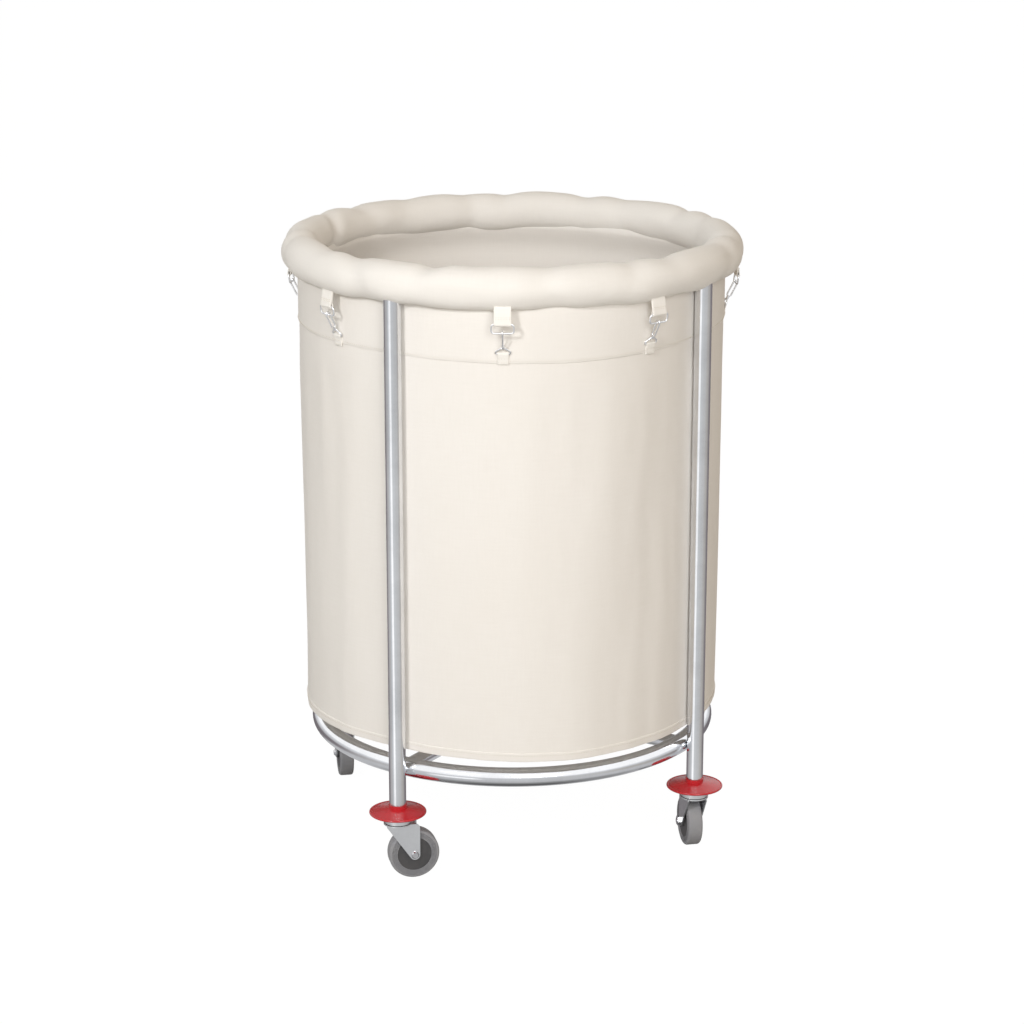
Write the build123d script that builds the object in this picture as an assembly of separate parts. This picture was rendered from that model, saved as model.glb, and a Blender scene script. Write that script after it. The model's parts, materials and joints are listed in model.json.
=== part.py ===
"""Round linen trolley: a canvas bag in a tube frame on four swivel castors.

Millimetres, +Z up. The origin is on the floor, under the middle of the bag.
The four legs stand on the diagonals, at 45, 135, 225 and 315 degrees from +X.
"""

import os
from math import asin, atan2, cos, pi, radians, sin, tan

from build123d import *

# ---------------------------------------------------------------- driving dimensions

# Tube frame
LEG_D = 25.0  # upright tube, outside
LEG_WALL = 1.5
LEG_CIRCLE_R = 321.0  # from the trolley's axis to each leg's axis
LEG_BOTTOM = 114.3
LOWER_HOOP_D = 28.0
LOWER_HOOP_R = 295.0  # to the tube's centreline
LOWER_HOOP_Z = 164.0
TOP_HOOP_D = 25.0
TOP_HOOP_R = 318.0
TOP_HOOP_Z = 889.6
HOOP_WALL = 1.5
CROSSBAR_D = 22.0
CROSSBAR_WALL = 1.5

# Bag and its padded rim
CUFF_R = 313.5  # to the middle of the padded rim's round section
CUFF_SECTION_R = 28.5
CUFF_THICK = 2.0
CUFF_INNER_END = -79.0  # degrees round its section: where the cuff leaves the wall,
CUFF_HEM = -43.0  # and where its hem ends, outside the legs
PADDING_SLIT = 2.0  # the foam is slit underneath to go over the hoop
BAG_R_MIDWAY = 317.5  # the wall bulges halfway between two legs
BAG_R_AT_LEG = 308.2  # and passes just inside each leg
BAG_THICK = 2.0
BAG_BOTTOM = 200.0
WALL_POINTS = 48  # points on the wall's closed outline

# Clips that hold the rim's cuff down: one D-ring and one snap hook each
CLIP_ANGLES = (-155.5, -105.8, -65.5, -8.5, 33.5, 75.5, 117.5, 159.5)
TAB_THICK = 3.0  # two plies of webbing
TAB_BORE_R = 1.5  # the fold that a wire runs through
CUFF_TAB_WIDTH = 25.0
CUFF_TAB_FOLD_WIDTH = 22.4
BAG_TAB_WIDTH = 16.5
BAG_TAB_FOLD_WIDTH = 15.4
BAG_TAB_BOTTOM = 782.5
RING_PIVOT_Z = 843.2  # the D-ring's upper bar
HOOK_PIVOT_Z = 798.0  # the snap hook's lower bar
RING_WIRE_D = 2.6
RING_WIDTH = 31.4  # all wire sizes are between centrelines
RING_DROP = 13.0
RING_CORNER_R = 4.2
RING_LEAN = 8.0  # degrees from upright, foot towards the bag
RING_OUTSET = 18.5  # the D-ring's pivot lies this far outside the hook's
HOOK_WIRE_D = 2.4
HOOK_LOOP_LENGTH = 20.0  # between the centres of the loop's two bends
HOOK_LOOP_WIDTH = 6.0
HOOK_EYE_WIDTH = 20.4
HOOK_EYE_LENGTH = 10.2
HOOK_NECK_R = 2.2

# Castors
WHEEL_D = 75.0
TYRE_WIDTH = 22.0
TYRE_EDGE_R = 3.5
HUB_D = 51.0
HUB_WIDTH = 20.0
HUB_BOSS_D = 17.0
HUB_BOSS_WIDTH = 25.4
TRAIL = 22.5  # from the swivel axis back to the axle
FORK_INSIDE = 26.0
FORK_PLATE = 2.0
FORK_TOP = 86.0
FORK_SEAT_R = 21.0
CHEEK_END_R = 7.6
CHEEK_CORNER_R = 6.5
AXLE_R = 4.0
STEM_R = 5.5
BALL_R = 2.0
BALL_CIRCLE_R = 14.0
BALL_COUNT = 12
RACE_CAP_R = 20.0
RACE_CAP_TOP = 92.3
RUNNING_GAP = 0.1  # radial, stem in bumper and fork
BUMPER_R = 42.0
BUMPER_RIM_Z = 102.3
BUMPER_HUB_R = 13.5
BUMPER_EDGE_R = 1.8

# Each castor: the leg's angle from +X, and the way its wheel trails
CORNERS = {
    "front_left": (225.0, -1.0),
    "front_right": (315.0, 88.0),
    "rear_right": (45.0, 200.0),
    "rear_left": (135.0, -94.0),
}

parts = {}


def polar(radius, angle, z=0.0):
    """The place at this radius and angle, turned so that its +X points outward."""
    return Location((radius * cos(radians(angle)), radius * sin(radians(angle)), z), (0, 0, angle))


def upright(radius, low, high):
    """A round bar standing on Z from low to high."""
    return Pos(0, 0, low) * Cylinder(radius, high - low, align=(Align.CENTER, Align.CENTER, Align.MIN))


def bar(length_start, length_end, radius):
    """A round bar along X."""
    span = length_end - length_start
    lying = Cylinder(radius, span, rotation=(0, 90, 0), align=(Align.CENTER, Align.CENTER, Align.MIN))
    return Pos(length_start, 0, 0) * lying


def turned(outline):
    """A solid of revolution about Z, from a face drawn in (radius, z)."""
    return revolve(Plane.XZ * outline, Axis.Z)


def group(solids):
    """Several separate solids written as one node."""
    return Compound(children=[solid.solid() for solid in solids])


# ------------------------------------------------------------------------- tube frame

top_hoop_bar = Pos(0, 0, TOP_HOOP_Z) * Torus(TOP_HOOP_R, TOP_HOOP_D / 2)
lower_hoop_bar = Pos(0, 0, LOWER_HOOP_Z) * Torus(LOWER_HOOP_R, LOWER_HOOP_D / 2)
legs_bars = [polar(LEG_CIRCLE_R, angle) * upright(LEG_D / 2, LEG_BOTTOM, TOP_HOOP_Z - 6)
             for angle, _ in CORNERS.values()]

# Both hoops are rolled tube, each welded to its legs. The lower one is notched where
# a leg bears on its outside; each leg's top is coped to fit under the top hoop.
parts["top_hoop"] = top_hoop_bar - Pos(0, 0, TOP_HOOP_Z) * Torus(
    TOP_HOOP_R, TOP_HOOP_D / 2 - HOOP_WALL)
parts["lower_hoop"] = lower_hoop_bar - Pos(0, 0, LOWER_HOOP_Z) * Torus(
    LOWER_HOOP_R, LOWER_HOOP_D / 2 - HOOP_WALL) - legs_bars

for (corner, (angle, _)), leg_bar in zip(CORNERS.items(), legs_bars):
    leg_hollow = polar(LEG_CIRCLE_R, angle) * upright(LEG_D / 2 - LEG_WALL, 0, TOP_HOOP_Z)
    parts[f"leg_{corner}"] = leg_bar - leg_hollow - top_hoop_bar

# Two crossbars brace the lower hoop on its diagonals. One runs right across; the
# other is in two halves, coped to the first one's sides.


def crossbar(start, end, angle):
    tube = bar(start, end, CROSSBAR_D / 2) - bar(start, end, CROSSBAR_D / 2 - CROSSBAR_WALL)
    return Location((0, 0, LOWER_HOOP_Z), (0, 0, angle)) * tube


long_bar = Location((0, 0, LOWER_HOOP_Z), (0, 0, 45)) * bar(
    -LOWER_HOOP_R, LOWER_HOOP_R, CROSSBAR_D / 2)
parts["crossbar_long"] = crossbar(-LOWER_HOOP_R, LOWER_HOOP_R, 45) - lower_hoop_bar
parts["crossbar_half_right"] = crossbar(0, LOWER_HOOP_R, -45) - lower_hoop_bar - long_bar
parts["crossbar_half_left"] = crossbar(0, LOWER_HOOP_R, 135) - lower_hoop_bar - long_bar


# ------------------------------------------------------------- bag and its padded rim


def wall_radius(angle):
    """The bag's outside radius: least at each leg, greatest halfway between two."""
    bulge = (1 - cos(radians(4 * (angle - 45)))) / 2
    return BAG_R_AT_LEG + (BAG_R_MIDWAY - BAG_R_AT_LEG) * bulge


def wall_outline(inset):
    points = []
    for step in range(WALL_POINTS):
        angle = 360 * step / WALL_POINTS
        radius = wall_radius(angle) - inset
        points.append((radius * cos(radians(angle)), radius * sin(radians(angle))))
    return make_face(Spline(*points, periodic=True))


cuff_bar = Pos(0, 0, TOP_HOOP_Z) * Torus(CUFF_R, CUFF_SECTION_R)
bag_filled = Pos(0, 0, BAG_BOTTOM) * extrude(wall_outline(0), TOP_HOOP_Z - BAG_BOTTOM)
bag_hollow = Pos(0, 0, BAG_BOTTOM) * extrude(wall_outline(BAG_THICK), TOP_HOOP_Z - BAG_BOTTOM)

# The canvas wall hangs from the rim and is open at the top. A flat round panel
# closes it at the foot, clear of the lower hoop and the crossbars.
parts["bag_wall"] = (bag_filled - bag_hollow) - cuff_bar
parts["bag_base"] = Pos(0, 0, BAG_BOTTOM) * extrude(wall_outline(BAG_THICK), BAG_THICK)

# The bag's top is folded out over the foam round the top hoop, as a cuff. It is open
# underneath, where the legs come up between the wall and the cuff's hem.


def from_section_centre(angle, reach):
    return (reach * cos(radians(angle)), reach * sin(radians(angle)))


mouth = make_face(Polyline(
    (0, 0), from_section_centre(CUFF_INNER_END, 80), from_section_centre(CUFF_HEM, 80), close=True))
foam_r = CUFF_SECTION_R - CUFF_THICK
hoop_offset = TOP_HOOP_R - CUFF_R
cuff_section = Circle(CUFF_SECTION_R) - Circle(foam_r) - mouth
foam_section = Circle(foam_r) - Pos(hoop_offset, 0) * Circle(TOP_HOOP_D / 2)
foam_section -= Pos(hoop_offset, -CUFF_SECTION_R / 2) * Rectangle(PADDING_SLIT, CUFF_SECTION_R)
section_place = Pos(CUFF_R, TOP_HOOP_Z)
parts["bag_cuff"] = turned(section_place * cuff_section) - legs_bars
parts["rim_padding"] = turned(section_place * foam_section) - legs_bars


# --------------------------------------------------------------------- cuff clips
# One clip is made in its own place: +X outward, Y along the rim, and Z up, with the
# snap hook's pivot at x = 0. Every clip is the same and stands TAB_THICK off the wall.


def wire_ring(points, corner_radii, wire_d):
    """Round wire bent to a closed flat ring with rounded corners."""
    path = FilletPolyline(*points, radius=corner_radii, close=True)
    start = path @ 0.02
    return sweep(Plane(start, z_dir=path % 0.02) * Circle(wire_d / 2), path=Wire(path.edges()))


def folded_tab(width, fold_width, low, high, pivot_z, folded_at_top):
    """Two plies of webbing, with the bore of their fold along Y at pivot_z."""
    flat_low, flat_high = (low, pivot_z) if folded_at_top else (pivot_z, high)
    flat = Pos(0, 0, flat_low) * Box(
        TAB_THICK, width, flat_high - flat_low, align=(Align.CENTER, Align.CENTER, Align.MIN))
    corner_room = Pos(0, 0, pivot_z) * (
        Box(4 * TAB_THICK, 2 * width, 4 * TAB_THICK) - Box(4 * TAB_THICK, fold_width, 4 * TAB_THICK))
    fold = Pos(0, 0, pivot_z) * Cylinder(TAB_THICK, fold_width, rotation=(90, 0, 0))
    bore = Pos(0, 0, pivot_z) * Cylinder(TAB_BORE_R, 2 * width, rotation=(90, 0, 0))
    return flat - corner_room + fold - bore


half_ring = RING_WIDTH / 2
d_ring = wire_ring(
    [(0, -half_ring, 0), (0, half_ring, 0), (0, half_ring, -RING_DROP), (0, -half_ring, -RING_DROP)],
    [RING_CORNER_R] * 4,
    RING_WIRE_D,
)
d_ring = Location((RING_OUTSET, 0, RING_PIVOT_Z), (0, RING_LEAN, 0)) * d_ring

# The hook leans out from its pivot until its upper bend is centred on the D-ring's
# lower bar. Its loop lies in the upright radial plane, and its eye lies across it.
bar_x = RING_OUTSET - RING_DROP * sin(radians(RING_LEAN))
bar_z = RING_PIVOT_Z - RING_DROP * cos(radians(RING_LEAN))
hook_reach = (Vector(bar_x, 0, bar_z) - Vector(0, 0, HOOK_PIVOT_Z)).length
hook_lean = Vector(0, 0, 1).get_angle(Vector(bar_x, 0, bar_z - HOOK_PIVOT_Z))
half_loop = HOOK_LOOP_WIDTH / 2
loop_top = hook_reach + half_loop
loop_foot = hook_reach - HOOK_LOOP_LENGTH - half_loop
hook_loop = wire_ring(
    [(-half_loop, 0, loop_foot), (half_loop, 0, loop_foot), (half_loop, 0, loop_top),
     (-half_loop, 0, loop_top)],
    [half_loop - 0.01] * 4,
    HOOK_WIRE_D,
)
half_eye = HOOK_EYE_WIDTH / 2
eye_shoulder = 0.4 * HOOK_EYE_LENGTH
hook_eye = wire_ring(
    [(0, -half_eye, 0), (0, half_eye, 0), (0, half_eye, eye_shoulder), (0, 2.2, HOOK_EYE_LENGTH),
     (0, -2.2, HOOK_EYE_LENGTH), (0, -half_eye, eye_shoulder)],
    [1.6, 1.6, 2.0, 2.0, 2.0, 2.0],
    HOOK_WIRE_D,
)
hook_neck = upright(HOOK_NECK_R, HOOK_EYE_LENGTH - 1, loop_foot + 1)
snap_hook = hook_loop + hook_eye + hook_neck
snap_hook = Location((0, 0, HOOK_PIVOT_Z), (0, hook_lean, 0)) * snap_hook

cuff_tab = Pos(RING_OUTSET, 0, 0) * folded_tab(
    CUFF_TAB_WIDTH, CUFF_TAB_FOLD_WIDTH, 0, TOP_HOOP_Z, RING_PIVOT_Z, folded_at_top=False)
bag_tab = folded_tab(
    BAG_TAB_WIDTH, BAG_TAB_FOLD_WIDTH, BAG_TAB_BOTTOM, 0, HOOK_PIVOT_Z, folded_at_top=True)
bag_tab_ply = Pos(-TAB_THICK / 2, 0, BAG_TAB_BOTTOM) * Box(
    TAB_THICK, BAG_TAB_WIDTH, HOOK_PIVOT_Z - BAG_TAB_BOTTOM - 2 * TAB_THICK,
    align=(Align.MAX, Align.CENTER, Align.MIN))

cuff_tabs, bag_tabs = [], []
for number, angle in enumerate(CLIP_ANGLES, start=1):
    place = polar(wall_radius(angle) + TAB_THICK, angle)
    parts[f"d_ring_{number}"] = place * d_ring
    parts[f"snap_hook_{number}"] = place * snap_hook
    cuff_tabs.append(place * cuff_tab - cuff_bar)
    bag_tabs.append(place * (bag_tab + bag_tab_ply) - bag_filled)
parts["cuff_tabs"] = group(cuff_tabs)
parts["bag_tabs"] = group(bag_tabs)


# ------------------------------------------------------------------------------ castors
# One castor is made about its swivel axis on Z, with its wheel trailing towards +X.

wheel_r = WHEEL_D / 2
fork_outside = FORK_INSIDE + 2 * FORK_PLATE

# The stem is pressed into the leg's socket. Its collar carries the bumper, and its
# riveted foot holds the fork up against the balls.
stem = upright(STEM_R, FORK_TOP - FORK_PLATE - 0.3, 152)
stem += upright(11, FORK_TOP - FORK_PLATE - 3.5, FORK_TOP - FORK_PLATE - 0.3)
socket = upright(LEG_D / 2 - LEG_WALL, LEG_BOTTOM, 156) - upright(STEM_R, 0, 152)

race_cap = turned(make_face(Polyline(
    (STEM_R, RACE_CAP_TOP), (RACE_CAP_R, RACE_CAP_TOP), (RACE_CAP_R, FORK_TOP + 0.8),
    (RACE_CAP_R - 2, FORK_TOP + 0.8), (RACE_CAP_R - 2, RACE_CAP_TOP - 2), (STEM_R, RACE_CAP_TOP - 2),
    close=True)))
balls = [
    Location((BALL_CIRCLE_R * cos(2 * pi * step / BALL_COUNT),
              BALL_CIRCLE_R * sin(2 * pi * step / BALL_COUNT), FORK_TOP + 0.3 + BALL_R)) * Sphere(BALL_R)
    for step in range(BALL_COUNT)
]

# The bumper is a shallow moulded dish with a thick rim and a collar on the stem.
bumper_section = make_face(Polyline(
    (STEM_R + RUNNING_GAP, RACE_CAP_TOP + 0.3), (BUMPER_HUB_R - 3, RACE_CAP_TOP + 0.3),
    (BUMPER_HUB_R, BUMPER_RIM_Z + 3.2), (BUMPER_R - BUMPER_EDGE_R, BUMPER_RIM_Z - 1),
    (BUMPER_R - BUMPER_EDGE_R, BUMPER_RIM_Z + 1), (BUMPER_HUB_R, BUMPER_RIM_Z + 6.5),
    (BUMPER_HUB_R, LEG_BOTTOM - 0.3), (STEM_R + RUNNING_GAP, LEG_BOTTOM - 0.3), close=True))
bumper_section += Pos(BUMPER_R - BUMPER_EDGE_R, BUMPER_RIM_Z) * Circle(BUMPER_EDGE_R)
bumper = turned(bumper_section)

# The fork is pressed from plate: a round seat that turns about the stem, and two
# cheeks. Each tapers down to a rounded end about the axle: its rear edge is upright,
# and its front edge slants from the seat to touch the same round end.
cheek_front, cheek_rear, cheek_corner_z = -18.5, TRAIL + CHEEK_END_R, FORK_TOP - 3
to_axle = Vector(TRAIL - cheek_front, wheel_r - cheek_corner_z)
slant = atan2(to_axle.Y, to_axle.X) - asin(CHEEK_END_R / to_axle.length)
cheek_foot = cheek_corner_z + (cheek_rear - cheek_front) * tan(slant)
cheek = make_face(FilletPolyline(
    (cheek_front, cheek_corner_z), (cheek_front, FORK_TOP), (cheek_rear, FORK_TOP),
    (cheek_rear, cheek_foot), radius=[0, 0, CHEEK_CORNER_R, CHEEK_END_R], close=True))
cheek -= Pos(TRAIL, wheel_r) * Circle(AXLE_R)
seat_bridge = cheek_rear - CHEEK_CORNER_R + 10
seat = Circle(FORK_SEAT_R) + Pos(-10 + seat_bridge / 2, 0) * Rectangle(seat_bridge, FORK_INSIDE)
seat -= Circle(STEM_R + RUNNING_GAP)
fork = Pos(0, 0, FORK_TOP - FORK_PLATE) * extrude(seat, FORK_PLATE)
for cheek_y in (-FORK_INSIDE / 2, FORK_INSIDE / 2 + FORK_PLATE):
    fork += Pos(0, cheek_y, 0) * extrude(Plane.XZ * cheek, FORK_PLATE)

# The axle is a bolt with a low round head on one cheek and a nut on the other.
axle_along = Location((TRAIL, 0, wheel_r), (90, 0, 0))
axle_bolt = axle_along * (
    upright(AXLE_R, -fork_outside / 2 - 6, fork_outside / 2)
    + upright(5.6, fork_outside / 2, fork_outside / 2 + 1.0)
    + Pos(0, 0, fork_outside / 2 + 1.0) * Cone(
        5.6, 4.2, 1.8, align=(Align.CENTER, Align.CENTER, Align.MIN))
)
nut_body = extrude(RegularPolygon(6.5 / cos(pi / 6), 6), -5)
axle_nut = axle_along * (
    Pos(0, 0, -fork_outside / 2) * nut_body - upright(AXLE_R, -fork_outside, fork_outside))

wheel_place = Location((TRAIL, 0, wheel_r), (90, 0, 0))
hub = upright(HUB_D / 2, -HUB_WIDTH / 2, HUB_WIDTH / 2)
hub += upright(HUB_BOSS_D / 2, -HUB_BOSS_WIDTH / 2, HUB_BOSS_WIDTH / 2)
hub -= upright(AXLE_R + 0.05, -FORK_INSIDE, FORK_INSIDE)
tyre = upright(wheel_r, -TYRE_WIDTH / 2, TYRE_WIDTH / 2)
tyre = fillet(tyre.edges(), TYRE_EDGE_R) - upright(HUB_D / 2, -TYRE_WIDTH, TYRE_WIDTH)

stems, sockets, race_caps, all_balls = [], [], [], []
for corner, (angle, heading) in CORNERS.items():
    leg_place = polar(LEG_CIRCLE_R, angle)
    castor_place = Location(leg_place.position, (0, 0, heading))
    stems.append(leg_place * stem)
    sockets.append(leg_place * socket)
    race_caps.append(leg_place * race_cap)
    all_balls += [leg_place * ball for ball in balls]
    parts[f"bumper_{corner}"] = leg_place * bumper
    parts[f"fork_{corner}"] = castor_place * fork
    parts[f"axle_bolt_{corner}"] = castor_place * axle_bolt
    parts[f"axle_nut_{corner}"] = castor_place * axle_nut
    parts[f"hub_{corner}"] = castor_place * wheel_place * hub
    parts[f"tyre_{corner}"] = castor_place * wheel_place * tyre
parts["castor_stems"] = group(stems)
parts["leg_sockets"] = group(sockets)
parts["race_caps"] = group(race_caps)
parts["swivel_balls"] = group(all_balls)


# ------------------------------------------------------------------------------- export

os.makedirs("parts", exist_ok=True)
for name, shape in parts.items():
    export_step(shape, f"parts/{name}.step")
    print(name, round(shape.volume), "mm3")
print(len(parts), "nodes, hook reach", round(hook_reach, 3), "lean", round(hook_lean, 3))
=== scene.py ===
import json
import math
import random

import bpy
from mathutils import Matrix, Vector, noise


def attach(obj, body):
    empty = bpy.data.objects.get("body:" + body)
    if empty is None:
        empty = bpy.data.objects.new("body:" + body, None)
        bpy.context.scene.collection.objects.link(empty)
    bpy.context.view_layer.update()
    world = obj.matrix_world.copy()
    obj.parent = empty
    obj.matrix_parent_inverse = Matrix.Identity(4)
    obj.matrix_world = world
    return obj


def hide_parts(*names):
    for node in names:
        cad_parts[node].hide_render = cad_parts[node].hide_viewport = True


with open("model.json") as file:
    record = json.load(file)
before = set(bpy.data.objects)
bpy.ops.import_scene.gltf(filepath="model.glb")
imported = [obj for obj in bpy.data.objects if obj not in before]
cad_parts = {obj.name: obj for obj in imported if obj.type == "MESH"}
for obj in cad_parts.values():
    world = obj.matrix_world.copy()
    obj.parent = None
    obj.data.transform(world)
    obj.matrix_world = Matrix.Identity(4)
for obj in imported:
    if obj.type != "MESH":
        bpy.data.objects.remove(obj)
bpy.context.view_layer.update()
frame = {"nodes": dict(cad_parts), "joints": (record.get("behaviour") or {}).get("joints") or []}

bpy.ops.object.select_all(action="DESELECT")
bpy.context.scene.view_settings.view_transform = "Standard"

camera_turn = -13.55
camera_bearing = math.radians(camera_turn - 90)    # from the trolley's axis, seen from above
bpy.ops.object.camera_add(
    location=(-0.9662, -4.0085, 1.6461),
    rotation=(math.radians(74.22), 0, math.radians(camera_turn)))
camera = bpy.context.object
camera.name = "studio_camera"
camera.data.sensor_width = 36
camera.data.lens = 98.9
bpy.context.scene.camera = camera


def square_lamp(name, stand, size, energy):
    """A lamp on a stand, turned towards the middle of the trolley."""
    bpy.ops.object.light_add(type="AREA", location=stand)
    lamp = bpy.context.object
    lamp.name = name
    aim = Vector((0, 0, 0.5)) - Vector(stand)
    lamp.rotation_euler = aim.to_track_quat("-Z", "Y").to_euler()
    lamp.data.size = size
    lamp.data.energy = energy


square_lamp("key_lamp", (-2.45, -2.67, 2.45), size=0.55, energy=58)
square_lamp("broad_lamp", (0.05, -4.05, 2.30), size=1.8, energy=68)

bpy.ops.mesh.primitive_plane_add(size=30, location=(0, 0, 0))
floor = bpy.context.object
floor.name = "studio_floor"
floor.visible_glossy = False


def feed(tree, socket, value):
    """Gives a socket its value: another node's output, or a plain number or colour."""
    if isinstance(value, bpy.types.NodeSocket):
        tree.links.new(value, socket)
    else:
        socket.default_value = value


def calc(tree, operation, *values):
    """One Math node, fed by sockets or plain numbers."""
    node = tree.nodes.new("ShaderNodeMath")
    node.operation = operation
    for socket, value in zip(node.inputs, values):
        feed(tree, socket, value)
    return node.outputs[0]


def mix_shaders(tree, share, plain, other):
    """One Mix Shader node: share says how much of the other there is."""
    node = tree.nodes.new("ShaderNodeMixShader")
    for socket, value in zip(node.inputs, (share, plain, other)):
        tree.links.new(value, socket)
    return node.outputs[0]


# The camera sees the floor as nearly white, while the trolley sees plain paper.
paper = bpy.data.materials.new("studio_paper")
paper.use_nodes = True
tree = paper.node_tree
tree.nodes.clear()
seen = tree.nodes.new("ShaderNodeLightPath")
matt = tree.nodes.new("ShaderNodeBsdfDiffuse")
matt.inputs["Color"].default_value = (0.58, 0.575, 0.56, 1)
bright = tree.nodes.new("ShaderNodeEmission")
bright.inputs["Color"].default_value = (1, 1, 1, 1)
bright.inputs["Strength"].default_value = 1.06
whitened = calc(tree, "MULTIPLY", seen.outputs["Is Camera Ray"], 0.93)
surface = mix_shaders(tree, whitened, matt.outputs[0], bright.outputs[0])
tree.links.new(surface, tree.nodes.new("ShaderNodeOutputMaterial").inputs["Surface"])
floor.data.materials.append(paper)


def graded(tree, value, stops):
    """A colour ramp from (place, colour) pairs."""
    ramp = tree.nodes.new("ShaderNodeValToRGB")
    ramp.color_ramp.interpolation = "EASE"
    while len(ramp.color_ramp.elements) < len(stops):
        ramp.color_ramp.elements.new(1.0)
    for element, (place, colour) in zip(ramp.color_ramp.elements, stops):
        element.position = place
        element.color = (*colour, 1)
    tree.links.new(value, ramp.inputs["Fac"])
    return ramp.outputs["Color"]


def ranged(tree, value, low, high, start=0.0, end=1.0, kind="LINEAR"):
    """Takes a value from low..high to start..end."""
    node = tree.nodes.new("ShaderNodeMapRange")
    node.interpolation_type = kind
    node.inputs["From Min"].default_value = low
    node.inputs["From Max"].default_value = high
    node.inputs["To Min"].default_value = start
    node.inputs["To Max"].default_value = end
    tree.links.new(value, node.inputs["Value"])
    return node.outputs[0]


def mix_colours(tree, share, plain, other):
    """One Mix node for colours: share says how much of the other there is."""
    node = tree.nodes.new("ShaderNodeMix")
    node.data_type = "RGBA"
    feed(tree, node.inputs["Factor"], share)
    feed(tree, node.inputs["A"], plain)
    feed(tree, node.inputs["B"], other)
    return node.outputs["Result"]


surround = bpy.data.worlds.new("studio_surround")
bpy.context.scene.world = surround
surround.use_nodes = True
tree = surround.node_tree
tree.nodes.clear()
way = tree.nodes.new("ShaderNodeTexCoord")
split = tree.nodes.new("ShaderNodeSeparateXYZ")
tree.links.new(way.outputs["Generated"], split.inputs[0])
way_x, way_y, way_z = (split.outputs[label] for label in "XYZ")

# Bright metal mirrors a ring of walls, dark and light by turns, or a ceiling and
# ground by height. Upright tubes mirror ways that fall as the camera's own does.
turn = calc(tree, "ADD", calc(tree, "ARCTAN2", way_y, way_x), math.pi - camera_bearing)
turn = calc(tree, "DIVIDE", calc(tree, "FLOORED_MODULO", turn, 2 * math.pi), 2 * math.pi)
walls = graded(tree, turn, [
    (0.00, (0.13, 0.12, 0.13)), (0.15, (0.20, 0.18, 0.19)), (0.27, (0.46, 0.45, 0.45)),
    (0.36, (0.54, 0.55, 0.57)), (0.385, (1.0, 1.0, 1.0)), (0.435, (1.0, 1.0, 1.0)),
    (0.46, (0.58, 0.59, 0.60)), (0.60, (0.52, 0.52, 0.52)), (0.71, (0.44, 0.42, 0.40)),
    (0.84, (0.20, 0.18, 0.19)), (1.00, (0.13, 0.12, 0.13))])
overhead = graded(tree, calc(tree, "MULTIPLY_ADD", way_z, 0.5, 0.5), [
    (0.0, (0.10, 0.10, 0.10)), (0.05, (0.26, 0.26, 0.26)), (0.16, (0.50, 0.50, 0.51)),
    (0.50, (0.56, 0.56, 0.57)), (0.56, (0.72, 0.73, 0.75)), (0.61, (1.0, 1.0, 1.0)),
    (0.90, (1.0, 1.0, 1.0)), (1.0, (0.8, 0.8, 0.8))])
camera_fall = 0.27
off_walls = calc(tree, "ABSOLUTE", calc(tree, "ADD", way_z, camera_fall))
by_height = ranged(tree, off_walls, 0.10, 0.26, kind="SMOOTHSTEP")
mirrored = mix_colours(tree, by_height, walls, overhead)

# Matt things are lit from all round, cooler from the camera's left and warmer
# from its right, and more strongly from behind the trolley.
view_x, view_y = 0.234, 0.972
rightward = calc(tree, "MULTIPLY_ADD", way_x, view_y, calc(tree, "MULTIPLY", way_y, -view_x))
fill = graded(tree, calc(tree, "MULTIPLY_ADD", rightward, 0.5, 0.5), [
    (0.0, (0.50, 0.50, 0.49)), (0.5, (0.34, 0.315, 0.278)), (1.0, (0.36, 0.275, 0.180))])
backward = calc(tree, "MULTIPLY_ADD", way_x, view_x, calc(tree, "MULTIPLY", way_y, view_y))
behind = calc(tree, "MULTIPLY_ADD", calc(tree, "MAXIMUM", backward, 0.0), 0.9, 1.0)

skies = []
for colour, strength in ((mirrored, 1.15), (fill, behind), ((1, 1, 1, 1), 1.0)):
    sky = tree.nodes.new("ShaderNodeBackground")
    feed(tree, sky.inputs["Color"], colour)
    feed(tree, sky.inputs["Strength"], strength)
    skies.append(sky.outputs[0])
for_mirrors, for_light, for_camera = skies
ray = tree.nodes.new("ShaderNodeLightPath")
unseen = mix_shaders(tree, ray.outputs["Is Glossy Ray"], for_light, for_mirrors)
all_skies = mix_shaders(tree, ray.outputs["Is Camera Ray"], unseen, for_camera)
tree.links.new(all_skies, tree.nodes.new("ShaderNodeOutputWorld").inputs["Surface"])

# -------------------------------------------------------------- the tube frame
# Four uprights, two hoops and the crossbars under the bag, all of thin steel
# tube, bent, welded and chrome plated. The top hoop is inside the padded rim.


def effect(name, inputs, outputs):
    """A shader node group with these named sockets, and its two end nodes."""
    group = bpy.data.node_groups.new(name, "ShaderNodeTree")
    for label, kind, start in inputs:
        socket = group.interface.new_socket(label, in_out="INPUT", socket_type=kind)
        if start is not None:
            socket.default_value = start
    for label in outputs:
        group.interface.new_socket(label, in_out="OUTPUT", socket_type="NodeSocketFloat")
    return group, group.nodes.new("NodeGroupInput"), group.nodes.new("NodeGroupOutput")


def use_effect(tree, group, **inputs):
    """A copy of an effect in a material, its inputs named with underscores for spaces."""
    node = tree.nodes.new("ShaderNodeGroup")
    node.node_tree = group
    for label, value in inputs.items():
        feed(tree, node.inputs[label.replace("_", " ")], value)
    return node.outputs


def mottle(tree, point, scale, detail, roughness=0.5):
    """One Noise Texture node."""
    node = tree.nodes.new("ShaderNodeTexNoise")
    node.inputs["Detail"].default_value = detail
    node.inputs["Roughness"].default_value = roughness
    tree.links.new(point, node.inputs["Vector"])
    feed(tree, node.inputs["Scale"], scale)
    return node.outputs["Fac"]


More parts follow.
